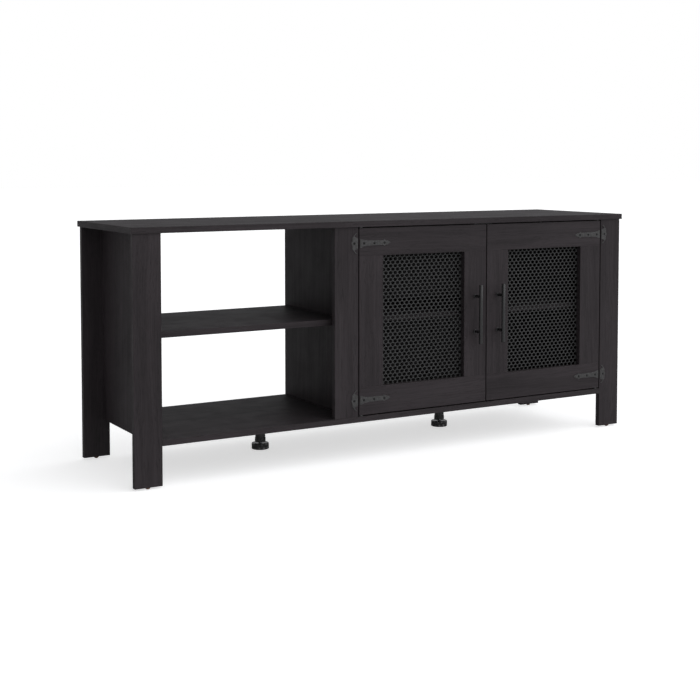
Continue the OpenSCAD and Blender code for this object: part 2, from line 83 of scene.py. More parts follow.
# Each finished board: its CAD node and the axis that its grain follows.
CARCASS_BOARDS = {
    "top_panel": "x",
    "base_panel": "x",
    "side_panel_left": "z",
    "side_panel_right": "z",
    "divider_panel": "z",
    "front_leg_left": "z",
    "front_leg_right": "z",
    "back_leg_left": "z",
    "back_leg_right": "z",
    "center_stile": "z",
    "open_shelf": "x",
    "cabinet_shelf": "x",
}
DOOR_BOARDS = {
    "top_rail": "x",
    "bottom_rail": "x",
    "hinge_stile": "z",
    "handle_stile": "z",
}
DOORS = ("left", "right")


# ---- Sizes and colours ----


def colour(name, red, green, blue, description):
    return FloatVectorProperty(
        name=name,
        description=description,
        default=(red, green, blue),
        subtype="COLOR",
        min=0,
        max=1,
        size=3,
    )


def length(name, default, description):
    return FloatProperty(
        name=name,
        description=description,
        default=default,
        min=0,
        unit="LENGTH",
        precision=5,
    )


def angle(name, degrees, description):
    return FloatProperty(
        name=name,
        description=description,
        default=math.radians(degrees),
        subtype="ANGLE",
        unit="ROTATION",
    )


def strength(name, default, description):
    return FloatProperty(name=name, description=description, default=default, min=0)


def direction(name, default, description):
    return FloatVectorProperty(
        name=name, description=description, default=default, subtype="DIRECTION", size=3
    )


class CabinetSizes(PropertyGroup):
    """Sizes of the finish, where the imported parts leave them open."""

    edge_radius: length("Board Edge Radius", 0.5 * MM, "Rounding along the edge banding")
    hole_pitch: length("Hole Pitch", 14.35 * MM, "Distance between the holes of one row")
    row_pitch: length("Row Pitch", 9.02 * MM, "Distance from one row of holes to the next")
    hole_width: length("Hole Width", 11.6 * MM, "Width of a hole from point to point")
    hole_height: length("Hole Height", 8.7 * MM, "Height of a hole from flat to flat")
    sheet_lap: length("Sheet Lap", 14 * MM, "How far the sheet laps the frame")
    bar_chamfer: length("Bar End Rounding", 1.2 * MM, "Rounding at the ends of a handle bar")
    grip_count: IntProperty(
        name="Foot Grips",
        description="Number of finger grips round a foot's pad",
        default=12,
        min=6,
        max=24,
    )
    thread_pitch: length("Stud Thread Pitch", 1.5 * MM, "Thread pitch of the foot studs")


class CabinetColours(PropertyGroup):
    """Colours of the finish."""

    wenge_ground: colour("Wenge Ground", 0.0390, 0.0325, 0.0352, "Main tone of the boards")
    wenge_streak: colour("Wenge Streak", 0.0250, 0.0208, 0.0225, "Darker streaks of the boards")
    wenge_pore: colour("Wenge Pore", 0.0110, 0.0095, 0.0100, "Short pore lines of the boards")
    # Lighter edge colour: partly rubbed wear, partly a painted highlight along the rounded edges.
    wenge_edge_wear_and_highlight: colour("Wenge Edge Wear And Highlight Edge", 0.060, 0.050, 0.048, "Rubbed edge banding")
    back_ground: colour("Back Panel", 0.030, 0.027, 0.028, "Printed face of the back panel")
    iron_grey: colour("Iron", 0.036, 0.035, 0.035, "Hammered hinge iron")
    sheet_grey: colour("Sheet", 0.034, 0.034, 0.034, "Powder coat of the perforated sheets")
    handle_black: colour("Handle", 0.012, 0.0118, 0.0122, "Satin black of the handles")
    foot_black: colour("Foot", 0.045, 0.045, 0.045, "Moulded plastic of the feet")
    glide_copper: colour("Glide", 0.19, 0.095, 0.055, "Copper-plated glides")
    zinc: colour("Zinc", 0.52, 0.53, 0.55, "Zinc-plated fittings")
    birch: colour("Birch", 0.56, 0.39, 0.20, "Dowels")
    screw_black: colour("Black Screws", 0.004, 0.004, 0.004, "Blackened screws of the ironwork")
    floor_white: colour("Floor", 0.80, 0.80, 0.80, "Studio floor")


class StudioSettings(PropertyGroup):
    """Camera and light of the stage."""

    camera_place: FloatVectorProperty(
        name="Camera Place",
        description="Where the camera stands",
        default=(-1.7926, -2.9666, 0.7769),
        subtype="TRANSLATION",
        unit="LENGTH",
        size=3,
    )
    camera_turn: angle("Camera Turn", 30.309, "How far the camera is turned to the right")
    camera_tilt: angle("Camera Tilt", 3.213, "How far the camera looks down")
    lens: FloatProperty(
        name="Lens",
        description="Focal length on a 36 mm sensor",
        default=65.379,
        unit="CAMERA",
    )
    shift: FloatProperty(name="Lens Shift", description="Vertical lens shift", default=-0.17)
    key_strength: strength("Key Light", 0.15, "Strength of the high soft light")
    key_width: angle("Key Width", 90, "Angle across the high soft light")
    key_side: direction("Key Side", (0.2, -0.35, 0.9), "Where the high soft light comes from")
    room_side: direction("Room Side", (0.73, -0.67, 0.12), "The side from which the room is lit")
    room_dim: strength("Room Shade", 0.27, "Brightness of the room's shaded side")
    room_bright: strength("Room Light", 1.6, "Brightness of the room's lit side")
    rear_side: direction("Rear Side", (0.5, 0.83, 0.22), "Where the low light behind stands")
    rear_bright: strength("Rear Light", 0.11, "Brightness of the low light behind")
    floor_glow: strength("Floor Glow", 0.6, "How bright the floor's sheet looks by itself")
    floor_reach: length("Floor Reach", 30, "How far the floor runs from the middle")


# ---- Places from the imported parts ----


def read(items, key, kind=np.float32, size=1):
    """One property of a mesh's vertices, corners or faces, with a row for each if it has a size."""
    values = np.empty(len(items) * size, kind)
    items.foreach_get(key, values)
    return values.reshape(-1, size) if size > 1 else values


def box(name):
    """Low and high corner of a CAD node."""
    low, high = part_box(name)
    return np.array(low), np.array(high)


def solids(name):
    """Low and high corners of each loose solid of a CAD node.

    The lowest label spreads over shared corners until nothing changes.
    """
    mesh = frame["nodes"][name].data
    points = read(mesh.vertices, "co", size=3).astype(float)
    corners = read(mesh.loops, "vertex_index", np.int32)
    same = np.unique(np.round(points, 6), axis=0, return_inverse=True)[1].ravel()
    faces = same[corners.reshape(-1, 3)]
    label = np.arange(same.max() + 1)
    settled = False
    while not settled:
        spread = label.copy()
        np.minimum.at(spread, faces.ravel(), np.repeat(label[faces].min(axis=1), 3))
        spread = spread[spread]
        settled = bool((spread == label).all())
        label = spread
    owner = label[same]
    return [
        (points[owner == key].min(axis=0), points[owner == key].max(axis=0))
        for key in np.unique(owner)
    ]


def underside(low, high):
    """The middle of a box's lower face."""
    return np.array([(low[0] + high[0]) / 2, (low[1] + high[1]) / 2, low[2]])


def meeting_x():
    """The line where the two doors meet."""
    return (box("left_top_rail")[1][0] + box("right_top_rail")[0][0]) / 2


# ---- Shapes. A shape is its points and its faces, four corners or more to a row. ----


def grid_faces(rows, columns, wrap=True):
    """Quads between the neighbours of a grid of points, joined round its columns if wrap."""
    index = np.arange(rows * columns).reshape(rows, columns)
    left = index if wrap else index[:, :-1]
    right = np.roll(index, -1, axis=1) if wrap else index[:, 1:]
    return np.stack([left[:-1], right[:-1], right[1:], left[1:]], axis=-1).reshape(-1, 4)


def outward(points, faces):
    """The shape with its faces turned out: they are flipped if the volume they enclose is negative."""
    first, middle, last = (points[faces[:, i]] for i in (0, 1, 2))
    volume = np.einsum("ij,ij->i", first, np.cross(middle, last)).sum()
    fourth = points[faces[:, 3]]
    volume += np.einsum("ij,ij->i", first, np.cross(last, fourth)).sum()
    return points, faces if volume > 0 else faces[:, ::-1]


def joined(shapes):
    """Several shapes as one."""
    starts = np.cumsum([0] + [len(points) for points, _ in shapes])
    points = np.concatenate([points for points, _ in shapes])
    faces = np.concatenate([faces + start for (_, faces), start in zip(shapes, starts)])
    return points, faces


def rounded_board(low, high, radius, steps=3):
    """A box with rounded edges.

    Each point is the centre, plus the inner half size signed by octant, plus the radius times
    the unit normal of a globe grid.
    """
    quarter = np.linspace(0, math.pi / 2, steps)
    around = np.concatenate([quarter + i * math.pi / 2 for i in range(4)])
    rise = np.concatenate([quarter - math.pi / 2, quarter])[:, None]
    flat = np.ones_like(rise)
    normal = np.stack(
        [np.cos(rise) * np.cos(around), np.cos(rise) * np.sin(around), np.sin(rise) + 0 * around],
        axis=-1,
    )
    sign = np.stack(
        [
            flat * np.repeat([1, -1, -1, 1], steps),
            flat * np.repeat([1, 1, -1, -1], steps),
            np.repeat([-1.0, 1.0], steps)[:, None] + 0 * around,
        ],
        axis=-1,
    )
    inner = (high - low) / 2 - radius
    points = ((low + high) / 2 + sign * inner + radius * normal).reshape(-1, 3)
    columns = 4 * steps
    top = (2 * steps - 1) * columns
    corners = np.arange(4) * steps
    faces = np.vstack([grid_faces(2 * steps, columns), corners[::-1], top + corners])
    return points, faces


def along(points, axis):
    """Points whose height runs up Z, turned so that it runs along the axis."""
    order = {"x": [2, 0, 1], "y": [1, 2, 0], "z": [0, 1, 2]}[axis]
    return points[..., order]


def turned(profile, centre, axis="z", around=48, hollow=False):
    """Each (radius, height) of a profile carried round the axis through the centre."""
    rows = np.array(list(profile) + ([profile[0]] if hollow else []), float)
    turn = np.arange(around) * 2 * math.pi / around
    radius, height = rows[:, :1], rows[:, 1:]
    points = np.stack(
        [radius * np.cos(turn), radius * np.sin(turn), height + 0 * turn], axis=-1
    )
    points = along(points.reshape(-1, 3), axis) + np.array(centre)
    return outward(points, grid_faces(len(rows), around))


def arc(middle_radius, middle_height, radius, start, end, steps=5):
    """Part of a circle in a profile, from one angle in degrees to another."""
    turn = np.radians(np.linspace(start, end, steps))
    return list(
        zip(middle_radius + radius * np.cos(turn), middle_height + radius * np.sin(turn))
    )


def screw_head(seat, axis, direction, radius, height, under=1.5 * MM, around=32):
    """A domed head with a cross recess sunk from its crown.

    The recess reaches out by the radius times 0.2 + 0.34 cos^2 of twice the angle.
    """
    turn = np.arange(around) * 2 * math.pi / around
    cross = radius * (0.2 + 0.34 * np.cos(2 * turn) ** 2)
    fall = np.radians([35, 60, 80, 90])[:, None]
    dome = radius * np.sin(fall) + 0 * turn
    level = np.ones(around)
    crown = height * np.cos(np.radians(28))
    rings = np.vstack(
        [
            0 * level,
            cross * 0.62,
            cross,
            cross + 0.06 * radius,
            dome,
            radius * level,
            0 * level,
        ]
    )
    heights = np.vstack(
        [
            (crown - 0.55 * radius) * level,
            (crown - 0.45 * radius) * level,
            (crown - 0.04 * radius) * level,
            crown * level,
            height * np.cos(fall) + 0 * turn,
            -under * level,
            -under * level,
        ]
    )
    points = np.stack([rings * np.cos(turn), rings * np.sin(turn), direction * heights], axis=-1)
    points = along(points.reshape(-1, 3), axis) + np.array(seat)
    return outward(points, grid_faces(len(rings), around))


# ---- Meshes ----


def make_mesh(name, points, face_blocks, smooth_angle=None):
    """A mesh from points and blocks of faces.

    Equal points become one, and repeated corners and lost faces go.
    """
    places, index = np.unique(np.round(points, 7), axis=0, return_inverse=True)
    index = index.ravel()
    loops, totals = [], []
    for block in face_blocks:
        faces = index[np.asarray(block)]
        keep = faces != np.roll(faces, -1, axis=1)
        keep[keep.sum(axis=1) < 3] = False
        loops.append(faces[keep])
        counts = keep.sum(axis=1)
        totals.append(counts[counts > 0])
    corners, totals = np.concatenate(loops), np.concatenate(totals)
    used, corners = np.unique(corners, return_inverse=True)
    places = places[used]
    mesh = bpy.data.meshes.new(name)
    mesh.vertices.add(len(places))
    mesh.vertices.foreach_set("co", places.astype(np.float32).ravel())
    mesh.loops.add(len(corners))
    mesh.loops.foreach_set("vertex_index", corners.ravel().astype(np.int32))
    mesh.polygons.add(len(totals))
    starts = np.concatenate([[0], np.cumsum(totals)[:-1]])
    mesh.polygons.foreach_set("loop_start", starts.astype(np.int32))
    mesh.update(calc_edges=True)
    if mesh.validate():
        raise RuntimeError(f"the mesh of {name} has faults")
    if smooth_angle is not None:
        mesh.polygons.foreach_set("use_smooth", np.ones(len(totals), bool))
        mesh.set_sharp_from_angle(angle=math.radians(smooth_angle))
    return mesh


def add_piece(name, mesh, slot, *nodes):
    """Puts a mesh in the scene as a piece that rides with the CAD nodes it stands for."""
    piece = bpy.data.objects.new(name, mesh)
    bpy.context.scene.collection.objects.link(piece)
    mesh.materials.append(finish(slot))
    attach(piece, frame["nodes"][nodes[0]]["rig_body"])
    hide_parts(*nodes)
    return piece


def add_shape(name, shapes, slot, *nodes, smooth_angle=35):
    """A piece made of one or more closed shapes."""
    points, faces = joined(shapes)
    return add_piece(name, make_mesh(name, points, [faces], smooth_angle), slot, *nodes)


# ---- Shader node helpers ----


def add_node(tree, kind, inputs=None, **settings):
    """A node with its settings, and each input linked or set."""
    made = tree.nodes.new(kind)
    for key, value in settings.items():
        setattr(made, key, value)
    for key, value in (inputs or {}).items():
        if isinstance(value, bpy.types.NodeSocket):
            tree.links.new(value, made.inputs[key])
        else:
            made.inputs[key].default_value = value
    return made


def maths(tree, operation, first, second=0.0, third=0.0):
    return add_node(
        tree, "ShaderNodeMath", {0: first, 1: second, 2: third}, operation=operation
    ).outputs[0]


def stretched(tree, vector, scale):
    """The vector with each axis scaled."""
    return add_node(
        tree, "ShaderNodeVectorMath", {0: vector, 1: scale}, operation="MULTIPLY"
    ).outputs[0]


def noise(tree, vector, scale, detail=3.0, roughness=0.5, distortion=0.0):
    return add_node(
        tree,
        "ShaderNodeTexNoise",
        {
            "Vector": vector,
            "Scale": scale,
            "Detail": detail,
            "Roughness": roughness,
            "Distortion": distortion,
        },
    ).outputs["Fac"]


def span(tree, value, low, high, to_low=0.0, to_high=1.0):
    """The value's range carried smoothly to another range."""
    return add_node(
        tree,
        "ShaderNodeMapRange",
        {"Value": value, "From Min": low, "From Max": high, "To Min": to_low, "To Max": to_high},
        interpolation_type="SMOOTHSTEP",
    ).outputs["Result"]


def blend_colours(tree, factor, first, second):
    return add_node(
        tree, "ShaderNodeMix", {0: factor, 6: first, 7: second}, data_type="RGBA"
    ).outputs[2]


def new_group(name, inputs, outputs):
    """A shader node group with named sockets, each given as (name, kind, default)."""
    tree = bpy.data.node_groups.new(name, "ShaderNodeTree")
    for label, kind, default in inputs:
        socket = tree.interface.new_socket(label, in_out="INPUT", socket_type=kind)
        if default is not None:
            socket.default_value = default
    for label, kind in outputs:
        tree.interface.new_socket(label, in_out="OUTPUT", socket_type=kind)
    return tree, tree.nodes.new("NodeGroupInput").outputs, tree.nodes.new("NodeGroupOutput").inputs


def use_group(tree, group, inputs):
    made = tree.nodes.new("ShaderNodeGroup")
    made.node_tree = group
    for key, value in inputs.items():
        if isinstance(value, bpy.types.NodeSocket):
            tree.links.new(value, made.inputs[key])
        else:
            made.inputs[key].default_value = value
    return made.outputs


def solid_colour(values):
    return (*values, 1.0)


# ---- Node groups ----


def made_once(build):
    """Builds a node group on its first use only, named after its function in title case."""

    def group():
        name = build.__name__.replace("_", " ").title()
        return bpy.data.node_groups.get(name) or build(name)

    return group


@made_once
def board_grain(name):
    """Long streaks, fine lines and short pores, drawn out along the first axis of Place."""
    tree, given, out = new_group(
        name,
        [
            ("Place", "NodeSocketVector", None),
            ("Ground", "NodeSocketColor", (0.03, 0.03, 0.03, 1)),
            ("Streak", "NodeSocketColor", (0.02, 0.02, 0.02, 1)),
            ("Pore", "NodeSocketColor", (0.01, 0.01, 0.01, 1)),
        ],
        [("Color", "NodeSocketColor"), ("Height", "NodeSocketFloat"), ("Roughness", "NodeSocketFloat")],
    )
    place = given["Place"]
    wander = noise(tree, stretched(tree, place, (2.2, 9, 9)), 1.0, 2.0)
    bend = maths(tree, "MULTIPLY", maths(tree, "SUBTRACT", wander, 0.5), 0.05)
    bent = add_node(
        tree,
        "ShaderNodeVectorMath",
        {0: place, 1: add_node(tree, "ShaderNodeCombineXYZ", {1: bend, 2: bend}).outputs[0]},
        operation="ADD",
    ).outputs[0]
    broad = noise(tree, stretched(tree, bent, (1.0, 34, 34)), 1.0, 4.0, 0.55)
    lines = noise(tree, stretched(tree, bent, (3.0, 210, 210)), 1.0, 3.0, 0.6)
    pores = noise(tree, stretched(tree, bent, (16, 900, 900)), 1.0, 2.0, 0.5)
    cloud = noise(tree, stretched(tree, place, (2.5, 5, 5)), 1.0, 2.0)
    streak = maths(
        tree,
        "ADD",
        maths(tree, "MULTIPLY", span(tree, broad, 0.34, 0.66), 0.55),
        maths(tree, "MULTIPLY", span(tree, lines, 0.36, 0.66), 0.45),
    )
    pore = span(tree, pores, 0.56, 0.68)
    tone = blend_colours(tree, streak, given["Ground"], given["Streak"])
    tone = blend_colours(tree, maths(tree, "MULTIPLY", pore, 0.6), tone, given["Pore"])
    light = span(tree, cloud, 0.3, 0.7, 0.9, 1.12)
    lit = add_node(
        tree, "ShaderNodeVectorMath", {0: tone, 3: light}, operation="SCALE"
    ).outputs[0]
    tree.links.new(lit, out["Color"])
    relief = maths(tree, "SUBTRACT", maths(tree, "MULTIPLY", lines, 0.35), pore)
    tree.links.new(relief, out["Height"])
    tree.links.new(maths(tree, "MULTIPLY_ADD", lines, 0.12, 0.46), out["Roughness"])
    return tree


@made_once
def worn_and_highlit_edges(name):
    """A mask near a board's edges, broken up by noise, for edge wear and a painted edge highlight.

    It follows the second smallest of the distances to the board's faces.
    """
    tree, given, out = new_group(
        name,
        [
            ("Centred", "NodeSocketVector", None),
            ("Half", "NodeSocketVector", None),
            ("Width", "NodeSocketFloat", 0.001),
        ],
        [("Mask", "NodeSocketFloat")],
    )
    absolute = add_node(
        tree, "ShaderNodeVectorMath", {0: given["Centred"]}, operation="ABSOLUTE"
    ).outputs[0]
    gap = add_node(
        tree, "ShaderNodeVectorMath", {0: given["Half"], 1: absolute}, operation="SUBTRACT"
    ).outputs[0]
    apart = add_node(tree, "ShaderNodeSeparateXYZ", {0: gap}).outputs
    smaller = maths(tree, "MINIMUM", apart[0], apart[1])
    larger = maths(tree, "MAXIMUM", apart[0], apart[1])
    second = maths(tree, "MAXIMUM", smaller, maths(tree, "MINIMUM", larger, apart[2]))
    share = maths(tree, "DIVIDE", second, given["Width"])
    near = span(tree, share, 0.2, 1.0, 1.0, 0.0)
    # Noise breaks the edge band into patches of wear and painted highlight.
    worn_and_highlit_patches = span(tree, noise(tree, given["Centred"], 55.0, 4.0, 0.65), 0.42, 0.70)
    tree.links.new(maths(tree, "MULTIPLY", near, worn_and_highlit_patches), out["Mask"])
    return tree


@made_once
def handling_haze(name):
    """Soft cloudy marks that change how glossy a surface is."""
    tree, given, out = new_group(
        name,
        [
            ("Place", "NodeSocketVector", None),
            ("Roughness", "NodeSocketFloat", 0.4),
            ("Amount", "NodeSocketFloat", 0.08),
        ],
        [("Roughness", "NodeSocketFloat"), ("Mask", "NodeSocketFloat")],
    )
    marks = span(tree, noise(tree, given["Place"], 14.0, 5.0, 0.6, 0.6), 0.35, 0.7)
    tree.links.new(marks, out["Mask"])
    tree.links.new(
        maths(tree, "MULTIPLY_ADD", marks, given["Amount"], given["Roughness"]), out["Roughness"]
    )
    return tree


@made_once
def fine_coat(name):
    """The pebbled skin of powder coat, moulding or casting, with a tint that follows it."""
    tree, given, out = new_group(
        name,
        [
            ("Place", "NodeSocketVector", None),
            ("Color", "NodeSocketColor", (0.05, 0.05, 0.05, 1)),
            ("Scale", "NodeSocketFloat", 900.0),
            ("Contrast", "NodeSocketFloat", 0.2),
        ],
        [("Color", "NodeSocketColor"), ("Height", "NodeSocketFloat")],
    )
    pebble = noise(tree, given["Place"], given["Scale"], 2.0, 0.5)
    patch = noise(tree, given["Place"], 30.0, 3.0, 0.6)
    both = maths(tree, "ADD", maths(tree, "MULTIPLY", pebble, 0.5), maths(tree, "MULTIPLY", patch, 0.5))
    swing = maths(tree, "MULTIPLY", maths(tree, "SUBTRACT", both, 0.5), given["Contrast"])
    light = maths(tree, "MULTIPLY_ADD", swing, 4.0, 1.0)
    lit = add_node(
        tree, "ShaderNodeVectorMath", {0: given["Color"], 3: light}, operation="SCALE"
    ).outputs[0]
    tree.links.new(lit, out["Color"])
    tree.links.new(pebble, out["Height"])
    return tree


# ---- Materials ----


def new_material(name, roughness=0.5, metallic=0.0, specular=0.5):
    """An empty Principled material with its constants set on the shader's own sockets."""
    material = bpy.data.materials.new(name)
    material.use_nodes = True
    tree = material.node_tree
    shader = tree.nodes["Principled BSDF"]
    shader.inputs["Roughness"].default_value = roughness
    shader.inputs["Metallic"].default_value = metallic
    shader.inputs["Specular IOR Level"].default_value = specular
    return material, tree, shader


def attribute(tree, name):
    return add_node(tree, "ShaderNodeAttribute", attribute_name=name).outputs["Vector"]


def object_place(tree):
    return add_node(tree, "ShaderNodeTexCoord").outputs["Object"]


def bump(tree, shader, height, distance, strength=1.0):
    made = add_node(
        tree, "ShaderNodeBump", {"Height": height, "Distance": distance, "Strength": strength}
    )
    tree.links.new(made.outputs["Normal"], shader.inputs["Normal"])


def board_material(name, ground, streak, pore, edge_wear_and_highlight, specular, relief):
    """Printed wood grain under a low sheen, with wear and a painted highlight along the edges."""
    material, tree, shader = new_material(name, specular=specular)
    grain = use_group(
        tree,
        board_grain(),
        {
            "Place": attribute(tree, "grain_place"),
            "Ground": solid_colour(ground),
            "Streak": solid_colour(streak),
            "Pore": solid_colour(pore),
        },
    )
    centred = attribute(tree, "board_place")
    edge = use_group(
        tree,
        worn_and_highlit_edges(),
        {"Centred": centred, "Half": attribute(tree, "board_half"), "Width": 1.1 * MM},
    )["Mask"]
    # Edges lightened: rubbed wear together with a painted highlight.
    tone = blend_colours(tree, maths(tree, "MULTIPLY", edge, 0.35), grain["Color"], solid_colour(edge_wear_and_highlight))
    tree.links.new(tone, shader.inputs["Base Color"])
    haze = use_group(
        tree,
        handling_haze(),
        {"Place": centred, "Roughness": grain["Roughness"], "Amount": 0.07},
    )
    tree.links.new(haze["Roughness"], shader.inputs["Roughness"])
    bump(tree, shader, grain["Height"], relief)
    return material


def coated_material(
    name, colour_values, roughness, scale, contrast, relief, metallic=0.0, specular=0.5
):
    """A painted, moulded or plated finish with a fine skin and soft marks."""
    material, tree, shader = new_material(name, metallic=metallic, specular=specular)
    place = object_place(tree)
    skin = use_group(
        tree,
        fine_coat(),
        {"Place": place, "Color": solid_colour(colour_values), "Scale": scale, "Contrast": contrast},
    )
    tree.links.new(skin["Color"], shader.inputs["Base Color"])
    haze = use_group(
        tree, handling_haze(), {"Place": place, "Roughness": roughness, "Amount": 0.1}
    )
    tree.links.new(haze["Roughness"], shader.inputs["Roughness"])
    bump(tree, shader, skin["Height"], relief)
    return material


def hammered_material(name, colour_values):
    """Iron with shallow hammer dimples, lighter on the ridges between them."""
    material, tree, shader = new_material(name, specular=0.3)
    place = object_place(tree)
    dimples = add_node(
        tree,
        "ShaderNodeTexVoronoi",
        {"Vector": place, "Scale": 260.0, "Smoothness": 0.6},
        feature="SMOOTH_F1",
    ).outputs["Distance"]
    ridge = span(tree, dimples, 0.25, 0.75)
    skin = use_group(
        tree,
        fine_coat(),
        {"Place": place, "Color": solid_colour(colour_values), "Scale": 1400.0, "Contrast": 0.3},
    )
    bright = solid_colour([1.7 * value for value in colour_values])
    tone = blend_colours(tree, maths(tree, "MULTIPLY", ridge, 0.7), skin["Color"], bright)
    tree.links.new(tone, shader.inputs["Base Color"])
    haze = use_group(tree, handling_haze(), {"Place": place, "Roughness": 0.42, "Amount": 0.15})
    tree.links.new(haze["Roughness"], shader.inputs["Roughness"])
    height = maths(tree, "MULTIPLY_ADD", dimples, 1.0, maths(tree, "MULTIPLY", skin["Height"], 0.15))
    bump(tree, shader, height, 0.35 * MM)
    return material


def brushed_material(name, colour_values):
    """Satin bar stock, brushed along its length, which runs up Z."""
    material, tree, shader = new_material(name, specular=0.6)
    place = object_place(tree)
    brushing = noise(tree, stretched(tree, place, (2600, 2600, 40)), 1.0, 3.0, 0.6)
    skin = use_group(
        tree,
        fine_coat(),
        {"Place": place, "Color": solid_colour(colour_values), "Scale": 1200.0, "Contrast": 0.15},
    )
    tree.links.new(skin["Color"], shader.inputs["Base Color"])
    base = maths(tree, "MULTIPLY_ADD", brushing, 0.12, 0.14)
    haze = use_group(tree, handling_haze(), {"Place": place, "Roughness": base, "Amount": 0.08})
    tree.links.new(haze["Roughness"], shader.inputs["Roughness"])
    bump(tree, shader, brushing, 0.02 * MM)
    return material


def floor_material(name, colour_values, glow):
    """Matt white sheet with a barely visible tooth, whose own glow only shows and lights nothing."""
    material, tree, shader = new_material(name, roughness=0.9, specular=0.1)
    shader.inputs["Emission Color"].default_value = (1, 1, 1, 1)
    seen = add_node(tree, "ShaderNodeLightPath").outputs["Is Camera Ray"]
    tree.links.new(maths(tree, "MULTIPLY", seen, glow), shader.inputs["Emission Strength"])
    place = object_place(tree)
    tooth = noise(tree, place, 3.0, 3.0, 0.6)
    darker = solid_colour([0.97 * value for value in colour_values])
    tone = blend_colours(tree, tooth, solid_colour(colour_values), darker)
    tree.links.new(tone, shader.inputs["Base Color"])
    return material


def finish(slot):
    """The material of one of the record's slots, made the first time that it is asked for."""
    name = slot + "_finish"
    if name in bpy.data.materials:
        return bpy.data.materials[name]
    c = bpy.context.scene.cabinet_colours
    makers = {
        "wenge_board": lambda n: board_material(
            n, c.wenge_ground, c.wenge_streak, c.wenge_pore, c.wenge_edge_wear_and_highlight, 0.12, 0.05 * MM
        ),
        "back_board": lambda n: board_material(
            n, c.back_ground, c.wenge_streak, c.wenge_pore, c.back_ground, 0.3, 0.02 * MM
        ),
        "hammered_iron": lambda n: hammered_material(n, c.iron_grey),
        "mesh_steel": lambda n: coated_material(
            n, c.sheet_grey, 0.45, 1500.0, 0.25, 0.03 * MM, specular=0.25
        ),
        "handle_metal": lambda n: brushed_material(n, c.handle_black),
        "dark_screws": lambda n: coated_material(
            n, c.screw_black, 0.4, 1800.0, 0.3, 0.02 * MM, specular=0.2
        ),
        "birch_dowel": lambda n: coated_material(
            n, c.birch, 0.6, 500.0, 0.35, 0.05 * MM, specular=0.3
        ),
        "glide_metal": lambda n: coated_material(
            n, c.glide_copper, 0.3, 700.0, 0.35, 0.02 * MM, metallic=0.8
        ),
        "foot_plastic": lambda n: coated_material(
            n, c.foot_black, 0.14, 1100.0, 0.2, 0.01 * MM, specular=0.7
        ),
        "catch_plastic": lambda n: coated_material(n, c.foot_black, 0.45, 1300.0, 0.3, 0.03 * MM),
        "zinc_steel": lambda n: coated_material(
            n, c.zinc, 0.26, 900.0, 0.3, 0.01 * MM, metallic=0.9
        ),
    }
    return makers[slot](name)


# ---- Boards ----


def lay_grain(mesh, low, high, axis, seed):
    """Stores where each corner lies along and across the grain, and where each point lies in its board.

    On a face that the grain would run out of, the banding's grain follows the face's longer side.
    """
    half, middle = (high - low) / 2, (high + low) / 2
    count = len(mesh.vertices)
    centred = read(mesh.vertices, "co", size=3) - middle
    corners = read(mesh.loops, "vertex_index", np.int32)
    totals = read(mesh.polygons, "loop_total", np.int32)
    facing = np.repeat(np.abs(read(mesh.polygons, "normal", size=3)).argmax(axis=1), totals)
    grain = AXES[axis]
    rest = sorted((i for i in range(3) if i != grain), key=lambda i: -half[i])
    straight = centred[corners][:, [grain, *rest]]
    banding = centred[corners][:, [rest[0], grain, rest[1]]]
    place = np.where((facing == grain)[:, None], banding, straight)
    shift = np.array([1.37, 0.61, 0.29]) * (seed + 1)
    stored = {
        "grain_place": ("CORNER", place + shift),
        "board_place": ("POINT", centred),
        "board_half": ("POINT", np.tile(half, (count, 1))),
    }
    for name, (domain, values) in stored.items():
        made = mesh.attributes.new(name, "FLOAT_VECTOR", domain)
        made.data.foreach_set("vector", values.astype(np.float32).ravel())


def add_board(node, axis, seed, slot, radius):
    """One board with rounded banding, in place of its CAD node."""
    low, high = box(node)
    points, faces = rounded_board(low, high, radius)
    mesh = make_mesh(node + "_board", points, [faces])
    level = np.abs(read(mesh.polygons, "normal", size=3)).max(axis=1) > 1 - 1e-6
    mesh.polygons.foreach_set("use_smooth", ~level)
    lay_grain(mesh, low, high, axis, seed)
    return add_piece(node + "_board", mesh, slot, node)


class CABINET_OT_carcass_boards(Operator):
    """Lays the top, base, sides, divider, legs, stile, shelves and back panel."""

    bl_idname = "cabinet.carcass_boards"
    bl_label = "Carcass Boards"

    def execute(self, context):
        radius = context.scene.cabinet_sizes.edge_radius
        for seed, (node, axis) in enumerate(CARCASS_BOARDS.items()):
            add_board(node, axis, seed, "wenge_board", radius)
        add_board("back_panel", "z", len(CARCASS_BOARDS), "back_board", radius / 2)
        return {"FINISHED"}


class CABINET_OT_door_frames(Operator):
    """Lays the rails and stiles of both doors."""

    bl_idname = "cabinet.door_frames"
    bl_label = "Door Frames"

    def execute(self, context):
        radius = context.scene.cabinet_sizes.edge_radius
        names = [(f"{door}_{part}", axis) for door in DOORS for part, axis in DOOR_BOARDS.items()]
        for seed, (node, axis) in enumerate(names, start=20):
            add_board(node, axis, seed, "wenge_board", radius)
        return {"FINISHED"}


# ---- Perforated sheets ----


